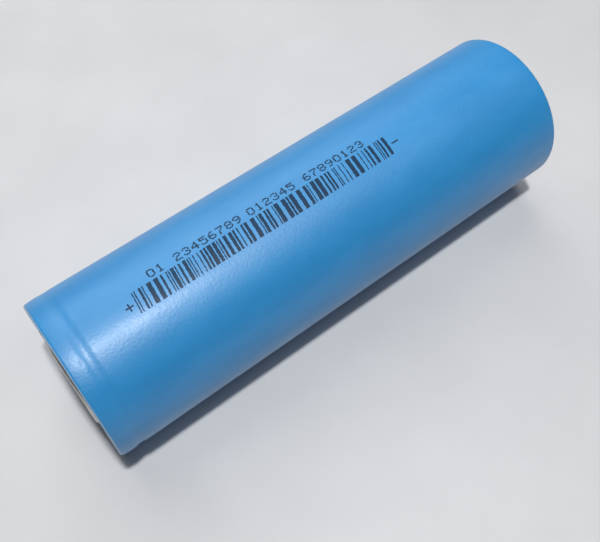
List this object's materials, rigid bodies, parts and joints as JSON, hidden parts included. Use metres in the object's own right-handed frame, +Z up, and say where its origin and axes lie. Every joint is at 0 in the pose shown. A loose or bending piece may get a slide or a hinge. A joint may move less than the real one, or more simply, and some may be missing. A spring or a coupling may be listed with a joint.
{
  "type": "cylindrical battery cell",
  "caption": "Sleeved cylindrical lithium-ion cell in the 21 by 70 mm format, with flat terminals, lying on its side and built down to its wound electrodes.",
  "frame": {"origin": "under the middle of the cell, on the surface that it lies on", "axes": "+X along the cell's axis towards the positive terminal, +Z up"},
  "size_m": [0.0702, 0.0212, 0.0212],
  "materials": {
    "sleeve_film": "satin gloss blue heat-shrink film",
    "washer_fibre": "matte white fibre",
    "nickel_steel": "nickel plated, drawn",
    "gasket_plastic": "translucent polypropylene",
    "aluminium_sheet": "soft sheet, satin",
    "insulator_plastic": "matte plastic sheet",
    "cathode_coating": "matte black oxide coating on foil",
    "anode_coating": "matte graphite coating on copper foil",
    "separator_film": "thin white film",
    "tab_tape": "amber tape",
    "end_tape": "blue tape"
  },
  "bodies": {
    "cell": {"shrink_sleeve": "sleeve_film", "end_washer": "washer_fibre", "can": "nickel_steel", "crimp_gasket": "gasket_plastic", "positive_cap": "nickel_steel", "vent_disc": "aluminium_sheet", "vent_disc_web": "aluminium_sheet", "cid_insulator": "insulator_plastic", "weld_disc": "aluminium_sheet", "upper_insulator": "insulator_plastic", "lower_insulator": "insulator_plastic", "cathode_strip": "cathode_coating", "anode_strip": "anode_coating", "separator_inner": "separator_film", "separator_outer": "separator_film", "cathode_tab": "aluminium_sheet", "cathode_tab_tape": "tab_tape", "anode_tab": "nickel_steel", "anode_tab_tape": "tab_tape", "roll_end_tape": "end_tape"},
    "vent_centre": {"vent_disc_centre": "aluminium_sheet"}
  },
  "joints": [
    {"name": "vent_disc_snap", "type": "slide", "parent": "cell", "child": "vent_centre", "axis": [1, 0, 0], "range_m": [0, 0.0006], "deforming": ["vent_disc_web"]}
  ]
}
